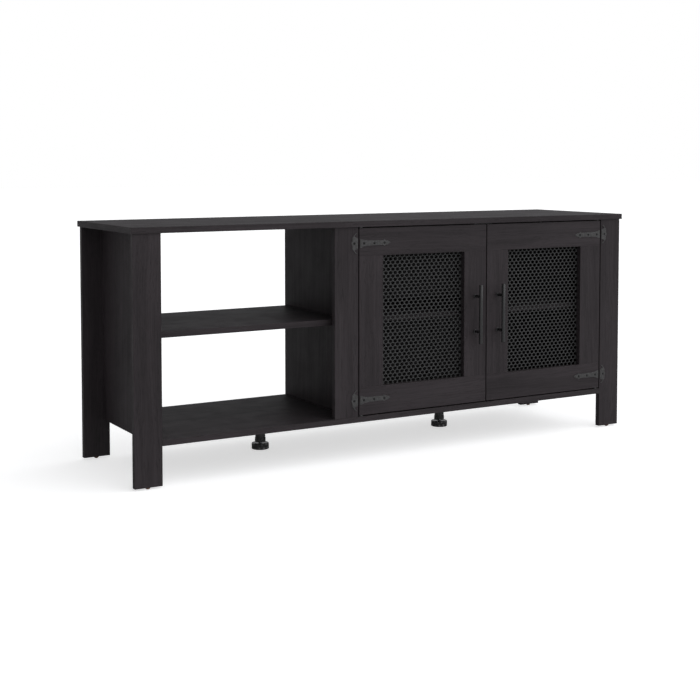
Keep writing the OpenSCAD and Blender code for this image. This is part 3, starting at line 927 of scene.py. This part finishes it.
def perforated_faces(low, high, opening_low, opening_high, sizes):
    """Brick cells, each a ring of points round a hole, cut off at the sheet's border.

    The cell's ring takes its corners, quarter points and middles, so a row set half a pitch over
    shares them. The hole's radius along each direction is between a hexagon's and an ellipse's.
    """
    pitch, row = sizes.hole_pitch, sizes.row_pitch
    across, up = opening_high - opening_low
    columns = math.floor((across + pitch) / pitch)
    rows = math.floor((up + row) / row)
    middle = (opening_low + opening_high) / 2
    first = middle - np.array([(columns - 1) * pitch / 2 + pitch / 4, (rows - 1) * row / 2])
    c, r = np.meshgrid(np.arange(-2, columns + 2), np.arange(-3, rows + 3))
    centres = np.stack([first[0] + (c + (r % 2) / 2) * pitch, first[1] + r * row], axis=-1)
    holed = ((c >= 0) & (c < columns) & (r >= 0) & (r < rows)).ravel()
    centres = centres.reshape(-1, 1, 2)
    upper = [[2, 0], [2, 2], [1, 2], [0, 2], [-1, 2], [-2, 2]]
    ring = np.array(upper + [[-x, -y] for x, y in upper])
    corners = len(ring)
    outer = centres + ring * [pitch / 4, row / 4]
    turn = np.arctan2(ring[:, 1] * row, ring[:, 0] * pitch)
    a, b = sizes.hole_width / 2, sizes.hole_height / 2
    cosine, sine = np.abs(np.cos(turn)), np.abs(np.sin(turn))
    hexagon = 1 / np.maximum(sine / b, cosine / a + sine / (2 * b))
    ellipse = 1 / np.sqrt((cosine / a) ** 2 + (sine / b) ** 2)
    radius = (0.6 * hexagon + 0.4 * ellipse)[:, None]
    hole = centres + radius * np.stack([np.cos(turn), np.sin(turn)], axis=-1)
    outer, hole = np.clip(outer, low, high), np.clip(hole, low, high)
    within = (np.ptp(outer, axis=1) > 1e-6).all(axis=1)
    count = len(centres)
    outer_index = np.arange(count * corners).reshape(count, corners)
    hole_index = outer_index + count * corners
    quads = np.stack(
        [outer_index, np.roll(outer_index, -1, 1), np.roll(hole_index, -1, 1), hole_index], axis=-1
    )
    points = np.concatenate([outer.reshape(-1, 2), hole.reshape(-1, 2)])
    return points, quads[holed & within].reshape(-1, 4), outer_index[~holed & within]


class CABINET_OT_perforated_sheets(Operator):
    """Cuts the perforated steel sheet of each door."""

    bl_idname = "cabinet.perforated_sheets"
    bl_label = "Perforated Sheets"

    def execute(self, context):
        sizes = context.scene.cabinet_sizes
        for door in DOORS:
            node = door + "_mesh_sheet"
            low, high = box(node)
            flat = [0, 2]
            lap = sizes.sheet_lap
            points, quads, plain = perforated_faces(
                low[flat], high[flat], low[flat] + lap, high[flat] - lap, sizes
            )
            points = np.insert(points, 1, low[1], axis=1)
            mesh = make_mesh(door + "_perforated_sheet", points, [quads, plain])
            piece = add_piece(door + "_perforated_sheet", mesh, "mesh_steel", node)
            wall = piece.modifiers.new("Sheet Thickness", "SOLIDIFY")
            wall.thickness = high[1] - low[1]
            wall.offset = -1
        return {"FINISHED"}


# ---- Handles ----


class CABINET_OT_door_handles(Operator):
    """Turns the bar and the two posts of each door's handle."""

    bl_idname = "cabinet.door_handles"
    bl_label = "Door Handles"

    def execute(self, context):
        rounding = context.scene.cabinet_sizes.bar_chamfer
        for door in DOORS:
            low, high = box(door + "_handle_bar")
            radius = (high[0] - low[0]) / 2
            half = (high[2] - low[2]) / 2
            end = arc(radius - rounding, half - rounding, rounding, 0, 90)
            profile = [(0, -half)] + [(r, -h) for r, h in end[::-1]] + end + [(0, half)]
            bar = turned(profile, (low + high) / 2)
            add_shape(door + "_bar", [bar], "handle_metal", door + "_handle_bar")
            posts = []
            for first, last in solids(door + "_handle_posts"):
                middle = (first + last) / 2
                bottom = last[1] - middle[1]
                stem = (last[2] - first[2]) / 2
                collar = 1.3 * stem
                profile = (
                    [(0, -bottom), (stem, -bottom)]
                    + [(stem, bottom - 3 * MM)]
                    + [(collar - 0.5 * MM, bottom - 2.2 * MM), (collar, bottom - 1.7 * MM)]
                    + [(collar, bottom)]
                    + [(0, bottom)]
                )
                posts.append(turned(profile, middle, "y", 40))
            add_shape(
                door + "_posts", posts, "handle_metal", door + "_handle_posts"
            )
        return {"FINISHED"}


# ---- Hinge ironwork ----


def softened(values, steps):
    """A run of values after a moving average."""
    weights = np.hanning(steps + 2)[1:-1]
    padded = np.pad(values, steps // 2, mode="edge")
    return np.convolve(padded, weights / weights.sum(), mode="valid")[: len(values)]


def iron_leaf(reach, middle, half, thickness):
    """A flat iron: a low crowned section, carried along the reach with its own middle and half width.

    Returns points as (along, across, out), with the section's corners eased by a chamfer.
    """
    ease = np.minimum(0.55 * MM, 0.45 * half)[:, None]
    side = np.array([-1, -1, -1, -0.5, 0, 0.5, 1, 1, 1])
    eased = np.array([0, 0, 1, 0.5, 0, 0.5, 1, 0, 0])
    depth = np.array([0, 0.62, 0.94, 1, 1, 1, 0.94, 0.62, 0]) * thickness
    across = middle[:, None] + side * (half[:, None] - ease * eased)
    points = np.stack([reach[:, None] + 0 * across, across, depth + 0 * across], axis=-1)
    rows, columns = across.shape
    faces = grid_faces(rows, columns)
    pair = np.arange(columns // 2)
    cap = np.stack([pair, pair + 1, columns - 2 - pair, columns - 1 - pair], axis=-1)
    last = (rows - 1) * columns
    return points.reshape(-1, 3), np.vstack([faces, cap, last + cap[:, ::-1]])


def strap_leaf(thickness, span_length, height):
    """The door's strap: a flared hinge end, a plain neck and a barbed tip."""
    reach = np.linspace(0, span_length, 150)
    hinge_end = [(0, 11.5), (4, 11.4), (7, 10), (11, 8.6), (16, 7.5), (24, 6.8)]
    neck_and_barbs = [(60, 6.2), (68, 6.2), (70.5, 7.4), (72.5, 9), (74, 8.4), (76.5, 5.8)]
    tip = [(80, 5.4), (83, 4.8), (87, 3.0), (91, 0.5)]
    keys, width = np.array(hinge_end + neck_and_barbs + tip).T / [[91], [11.5]]
    half = softened(np.interp(reach, keys * span_length, width * height / 2), 5)
    return iron_leaf(reach, 0 * reach, half, thickness)


def plate_leaf(thickness, width, height):
    """The post's plate: a block with a small point, and a thin horn at each end that curls back."""
    reach = np.linspace(-height / 2, height / 2, 150)
    level = np.abs(reach) / (height / 2) * 27
    outer = np.interp(
        level,
        [0, 2, 4, 7, 14, 16.5, 18, 21, 24, 26, 27],
        [20, 19.4, 17.8, 17.2, 17.2, 16.2, 13.6, 12, 9.4, 6.4, 4.6],
    )
    inner = np.interp(
        level,
        [0, 12.5, 14, 15.5, 17, 18.5, 21, 24, 26, 27],
        [0, 0, 2.2, 5.5, 9.6, 10.2, 8.6, 5.2, 2.6, 2.8],
    )
    outer, inner = (softened(edge, 3) * width / 20 for edge in (outer, inner))
    return iron_leaf(reach, (outer + inner) / 2, (outer - inner) / 2, thickness)


class CABINET_OT_hinge_ironwork(Operator):
    """Shapes the straps on the doors and the plates beside them."""

    bl_idname = "cabinet.hinge_ironwork"
    bl_label = "Hinge Ironwork"

    def execute(self, context):
        for door, direction in zip(DOORS, (1, -1)):
            straps = []
            for low, high in solids(door + "_hinge_straps"):
                size = high - low
                points, faces = strap_leaf(size[1], size[0], size[2])
                start = low[0] if direction > 0 else high[0]
                points = points[:, [0, 2, 1]] * [direction, -1, 1]
                points = points + [start, high[1], (low[2] + high[2]) / 2]
                straps.append(outward(points, faces))
            add_shape(
                door + "_strap_irons",
                straps,
                "hammered_iron",
                door + "_hinge_straps",
                smooth_angle=30,
            )
        plates = []
        for low, high in solids("hinge_plates"):
            size = high - low
            on_left = (low[0] + high[0]) / 2 < meeting_x()
            points, faces = plate_leaf(size[1], size[0], size[2])
            start = high[0] if on_left else low[0]
            turn = -1 if on_left else 1
            points = points[:, [1, 2, 0]] * [turn, -1, 1]
            points = points + [start, high[1], (low[2] + high[2]) / 2]
            plates.append(outward(points, faces))
        add_shape("hinge_plate_irons", plates, "hammered_iron", "hinge_plates", smooth_angle=30)
        return {"FINISHED"}


# ---- Screws ----


def heads(node, axis, direction, radius, height, sunk):
    """A screw head for each solid of a CAD node, seated on the end that faces the direction."""
    found = []
    along_axis = AXES[axis]
    for low, high in solids(node):
        seat = (low + high) / 2
        seat[along_axis] = (high if direction > 0 else low)[along_axis] - direction * sunk
        found.append(screw_head(seat, axis, direction, radius, height))
    return found


class CABINET_OT_screws(Operator):
    """Presses the heads of every screw that shows."""

    bl_idname = "cabinet.screws"
    bl_label = "Screws"

    def execute(self, context):
        rows = [
            # node, slot, axis, direction, radius, height, how far the seat is sunk
            ("plate_screws", "dark_screws", "y", -1, 3.2, 0.9, 0),
            ("catch_screws", "zinc_steel", "z", -1, 3.2, 0.9, 0),
            ("base_screws", "zinc_steel", "z", -1, 4.4, 0.7, 0),
            ("foot_screws", "zinc_steel", "z", -1, 4.0, 2.0, 2.0),
        ]
        for door in DOORS:
            rows += [
                (door + "_strap_screws", "dark_screws", "y", -1, 3.2, 0.9, 0),
                (door + "_mesh_screws", "zinc_steel", "y", 1, 3.5, 1.6, 1.6),
                (door + "_handle_screws", "zinc_steel", "y", 1, 4.0, 1.2, 0),
            ]
        for node, slot, axis, direction, radius, height, sunk in rows:
            shapes = heads(node, axis, direction, radius * MM, height * MM, sunk * MM)
            add_shape(node[:-6] + "screw_heads", shapes, slot, node)
        return {"FINISHED"}


# ---- Feet and glides ----


def grip_pad(low, high, grips):
    """A foot's pad: a turned disc whose side is drawn in by a cosine, once for each grip."""
    radius, height = (high[0] - low[0]) / 2, high[2] - low[2]
    around = grips * 12
    turn = np.arange(around) * 2 * math.pi / around
    rows = (
        [(0, 0), (0.93, 0), (0.975, 0.02), (0.995, 0.06), (1, 0.12), (1, 0.32)]
        + [(1, 0.5), (1, 0.68), (1, 0.84), (0.99, 0.93), (0.965, 0.98), (0.93, 1)]
        + [(0.5, 1.0), (0.44, 0.97), (0, 0.97)]
    )
    share, level = np.array(rows).T[:, :, None]
    groove = np.clip(1 - ((level - 0.5) / 0.42) ** 2, 0, 1) * (share > 0.6)
    draw = 0.07 * groove * (0.5 + 0.5 * np.cos(grips * turn)) ** 2
    reach = radius * share * (1 - draw)
    points = np.stack([reach * np.cos(turn), reach * np.sin(turn), height * level + 0 * turn], axis=-1)
    centre = underside(low, high)
    return outward(points.reshape(-1, 3) + centre, grid_faces(len(rows), around))


def threaded_stud(low, high, pitch):
    """A stud whose radius falls and rises once for each pitch, along a helix, as a thread does."""
    radius, height = (high[0] - low[0]) / 2, high[2] - low[2]
    around, rows = 24, int(height / pitch * 8)
    turn = np.arange(around) * 2 * math.pi / around
    level = np.linspace(0, height, rows)[:, None]
    phase = level / pitch - turn / (2 * math.pi)
    ridge = np.abs((phase % 1) * 2 - 1)
    reach = radius - 0.09 * radius * (1 - ridge)
    reach = np.vstack([0 * turn, reach, 0 * turn])
    level = np.vstack([[0], level, [height]])
    points = np.stack([reach * np.cos(turn), reach * np.sin(turn), level + 0 * turn], axis=-1)
    centre = underside(low, high)
    return outward(points.reshape(-1, 3) + centre, grid_faces(rows + 2, around))


def foot_column(low, high):
    """A column turned with a slight lower collar and a screwed flange under the base."""
    middle = underside(low, high)
    height, flange = high[2] - low[2], (high[0] - low[0]) / 2
    stem, collar, ring = 13.5 * MM, 14.5 * MM, 12 * MM
    profile = (
        [(5.2 * MM, 6 * MM), (5.2 * MM, 0), (collar - 1 * MM, 0)]
        + arc(collar - 1 * MM, 1 * MM, 1 * MM, -60, 0, 4)
        + [(collar, ring - 1 * MM), (stem, ring)]
        + arc(stem + 3 * MM, height - 7 * MM, 3 * MM, 180, 90, 5)
        + [(flange - 1.5 * MM, height - 3.6 * MM)]
        + arc(flange - 1 * MM, height - 2.6 * MM, 1 * MM, 90, 0, 4)[1:]
        + [(flange, height), (0, height), (0, 6 * MM)]
    )
    return turned(profile, middle, around=56)


class CABINET_OT_levelling_feet(Operator):
    """Turns the two levelling feet under the base."""

    bl_idname = "cabinet.levelling_feet"
    bl_label = "Levelling Feet"

    def execute(self, context):
        sizes = context.scene.cabinet_sizes
        for side in DOORS:
            column = foot_column(*box("foot_column_" + side))
            add_shape(side + "_foot_column", [column], "foot_plastic", "foot_column_" + side)
            pad = grip_pad(*box("foot_pad_" + side), sizes.grip_count)
            add_shape(side + "_foot_pad", [pad], "foot_plastic", "foot_pad_" + side)
            stud = threaded_stud(*box("foot_stud_" + side), sizes.thread_pitch)
            add_shape(side + "_foot_stud", [stud], "zinc_steel", "foot_stud_" + side, smooth_angle=80)
        return {"FINISHED"}


class CABINET_OT_leg_glides(Operator):
    """Turns the domed nail glides under the legs."""

    bl_idname = "cabinet.leg_glides"
    bl_label = "Leg Glides"

    def execute(self, context):
        glides = []
        leg_low = box("front_leg_left")[0][2]
        for low, high in solids("leg_glides"):
            radius, height = (high[0] - low[0]) / 2, leg_low - low[2]
            turn = np.radians(np.linspace(0, 78, 9))
            out = radius * np.sin(turn) / math.sin(turn[-1])
            rise = height * 0.9 * (1 - np.cos(turn)) / (1 - math.cos(turn[-1]))
            dome = list(zip(out, rise))
            profile = dome + [(radius, height), (0, height)]
            centre = underside(low, high)
            glides.append(turned(profile, centre, around=36))
        add_shape("glide_domes", glides, "glide_metal", "leg_glides")
        return {"FINISHED"}


# ---- Fittings ----


class CABINET_OT_fittings(Operator):
    """Shapes the magnetic catch, strikes, shelf pins, bushes and cam discs."""

    bl_idname = "cabinet.fittings"
    bl_label = "Fittings"

    def execute(self, context):
        housing = rounded_board(*box("catch_housing"), 1.0 * MM, 4)
        add_shape("catch_body", [housing], "catch_plastic", "catch_housing")
        magnets = [rounded_board(low, high, 0.25 * MM) for low, high in solids("catch_magnets")]
        add_shape("catch_magnet_bars", magnets, "zinc_steel", "catch_magnets")
        for door in DOORS:
            low, high = box(door + "_strike_plate")
            low[1] = high[1] - 1.0 * MM
            strike = rounded_board(low, high, 0.3 * MM)
            add_shape(door + "_strike", [strike], "zinc_steel", door + "_strike_plate")
        self.shelf_pins()
        self.bushes()
        self.cams()
        return {"FINISHED"}

    def shelf_pins(self):
        """Round pins with a domed end on each side."""
        pins = []
        for low, high in solids("shelf_pins"):
            radius, half = (high[2] - low[2]) / 2, (high[0] - low[0]) / 2
            end = arc(0, half - 0.6 * radius, 0.6 * radius, 0, 90)
            end = [(radius * r / (0.6 * radius), h) for r, h in end]
            profile = [(0, -half)] + [(r, -h) for r, h in end[::-1]][1:] + end
            pins.append(turned(profile, (low + high) / 2, "x", 32))
        add_shape("shelf_pin_rods", pins, "zinc_steel", "shelf_pins")

    def bushes(self):
        """Rings with a wider rim on the side that faces the door."""
        made = []
        middle = (box("left_top_rail")[1][2] + box("left_bottom_rail")[0][2]) / 2
        for low, high in solids("pivot_bushes"):
            rim, bore = (high[0] - low[0]) / 2, 2.6 * MM
            sleeve = rim - 2 * MM
            depth = high[2] - low[2]
            lip = 2.8 * MM
            up = -1 if (low[2] + high[2]) / 2 > middle else 1
            profile = [(bore, 0), (sleeve, 0), (sleeve, depth - lip), (rim, depth - lip)]
            profile += arc(rim - 0.5 * MM, depth - 0.5 * MM, 0.5 * MM, 0, 90, 4) + [(bore, depth)]
            profile = [(r, up * h) for r, h in profile]
            end = (low if up > 0 else high)[2]
            centre = [(low[0] + high[0]) / 2, (low[1] + high[1]) / 2, end]
            made.append(turned(profile, centre, around=36, hollow=True))
        add_shape("bush_rings", made, "catch_plastic", "pivot_bushes")

    def cams(self):
        """Cam discs with a cross recess, seen on the face that each one is flush with."""
        boards = [box(node) for node in CARCASS_BOARDS]
        made = []
        for low, high in solids("cam_discs"):
            size, seat = high - low, (low + high) / 2
            axis = int(np.argmin(size))
            for first, last in boards:
                if ((seat > first) & (seat < last)).all():
                    up = abs(high[axis] - last[axis]) < abs(low[axis] - first[axis])
            seat[axis] = (high if up else low)[axis]
            name = "xyz"[axis]
            made.append(screw_head(seat, name, 1 if up else -1, 7.4 * MM, 0.35 * MM))
        add_shape("cam_disc_faces", made, "zinc_steel", "cam_discs")


class CABINET_OT_hidden_hardware(Operator):
    """Gives the bolts, dowels and pivot pins inside the boards their finishes."""

    bl_idname = "cabinet.hidden_hardware"
    bl_label = "Hidden Hardware"

    def execute(self, context):
        slots = {"cam_bolts": "zinc_steel", "wood_dowels": "birch_dowel"}
        for door in DOORS:
            slots[door + "_frame_dowels"] = "birch_dowel"
            slots[door + "_pivot_pins"] = "zinc_steel"
        for node, slot in slots.items():
            materials = frame["nodes"][node].data.materials
            materials.clear()
            materials.append(finish(slot))
        return {"FINISHED"}


# ---- Stage ----


class CABINET_OT_studio_stage(Operator):
    """Sets the pale floor, the soft light and the camera."""

    bl_idname = "cabinet.studio_stage"
    bl_label = "Studio Stage"

    def execute(self, context):
        scene = context.scene
        settings = scene.studio_settings
        self.floor(scene, settings)
        self.room(scene, settings)
        sun = bpy.data.lights.new("Key Light", "SUN")
        sun.energy = settings.key_strength
        sun.angle = settings.key_width
        lamp = bpy.data.objects.new("Key Light", sun)
        lamp.rotation_euler = Vector(settings.key_side).to_track_quat("Z", "Y").to_euler()
        scene.collection.objects.link(lamp)
        lens = bpy.data.cameras.new("Camera")
        lens.lens = settings.lens
        lens.sensor_width = 36
        lens.shift_y = settings.shift
        camera = bpy.data.objects.new("Camera", lens)
        camera.location = settings.camera_place
        camera.rotation_euler = (math.pi / 2 - settings.camera_tilt, 0, -settings.camera_turn)
        scene.collection.objects.link(camera)
        scene.camera = camera
        scene.view_settings.view_transform = "Standard"
        return {"FINISHED"}

    def floor(self, scene, settings):
        """A flat grid, wide enough to reach past every view."""
        lines = 13
        reach = np.linspace(-settings.floor_reach, settings.floor_reach, lines)
        x, y = np.meshgrid(reach, reach)
        points = np.stack([x, y, 0 * x], axis=-1).reshape(-1, 3)
        mesh = make_mesh("Studio Floor", points, [grid_faces(lines, lines, wrap=False)])
        colour_values = scene.cabinet_colours.floor_white
        mesh.materials.append(floor_material("studio_floor", colour_values, settings.floor_glow))
        floor = bpy.data.objects.new("Studio Floor", mesh)
        scene.collection.objects.link(floor)

    def room(self, scene, settings):
        """A white backdrop, lit from the front and right and, low and faintly, from behind."""
        world = bpy.data.worlds.new("Studio Room")
        world.use_nodes = True
        tree = world.node_tree
        tree.nodes.clear()
        direction = add_node(tree, "ShaderNodeTexCoord").outputs["Generated"]
        toward = [
            add_node(
                tree,
                "ShaderNodeVectorMath",
                {0: direction, 1: Vector(side).normalized()},
                operation="DOT_PRODUCT",
            ).outputs["Value"]
            for side in (settings.room_side, settings.rear_side)
        ]
        front = span(tree, toward[0], -0.2, 1.0, settings.room_dim, settings.room_bright)
        rear = span(tree, toward[1], 0.3, 1.0, 0.0, settings.rear_bright)
        level = maths(tree, "ADD", front, rear)
        light = add_node(
            tree, "ShaderNodeBackground", {"Color": (0.97, 0.98, 1.0, 1), "Strength": level}
        )
        backdrop = add_node(tree, "ShaderNodeBackground", {"Color": (1, 1, 1, 1), "Strength": 1.0})
        seen = add_node(tree, "ShaderNodeLightPath").outputs["Is Camera Ray"]
        mixed = add_node(
            tree,
            "ShaderNodeMixShader",
            {0: seen, 1: light.outputs[0], 2: backdrop.outputs[0]},
        )
        add_node(tree, "ShaderNodeOutputWorld", {"Surface": mixed.outputs[0]})
        scene.world = world


# ---- Panel and registration ----

STEPS = (
    CABINET_OT_carcass_boards,
    CABINET_OT_door_frames,
    CABINET_OT_perforated_sheets,
    CABINET_OT_door_handles,
    CABINET_OT_hinge_ironwork,
    CABINET_OT_screws,
    CABINET_OT_levelling_feet,
    CABINET_OT_leg_glides,
    CABINET_OT_fittings,
    CABINET_OT_hidden_hardware,
    CABINET_OT_studio_stage,
)
SETTINGS = {
    "cabinet_sizes": CabinetSizes,
    "cabinet_colours": CabinetColours,
    "studio_settings": StudioSettings,
}


class CABINET_PT_maker(Panel):
    """Lists the steps that finish the cabinet, and their sizes and colours."""

    bl_idname = "CABINET_PT_maker"
    bl_label = "Media Cabinet"
    bl_space_type = "VIEW_3D"
    bl_region_type = "UI"
    bl_category = "Cabinet"

    def draw(self, context):
        for step in STEPS:
            self.layout.operator(step.bl_idname)
        for name, group in SETTINGS.items():
            settings = getattr(context.scene, name)
            column = self.layout.column()
            for key in group.__annotations__:
                column.prop(settings, key)


def register():
    for group in SETTINGS.values():
        bpy.utils.register_class(group)
    for name, group in SETTINGS.items():
        setattr(bpy.types.Scene, name, PointerProperty(type=group))
    for step in STEPS:
        bpy.utils.register_class(step)
    bpy.utils.register_class(CABINET_PT_maker)


def unregister():
    bpy.utils.unregister_class(CABINET_PT_maker)
    for step in reversed(STEPS):
        bpy.utils.unregister_class(step)
    for name in SETTINGS:
        delattr(bpy.types.Scene, name)
    for group in reversed(list(SETTINGS.values())):
        bpy.utils.unregister_class(group)


def main():
    register()
    for step in STEPS:
        group, name = step.bl_idname.split(".")
        getattr(getattr(bpy.ops, group), name)()


if __name__ == "__main__":
    main()
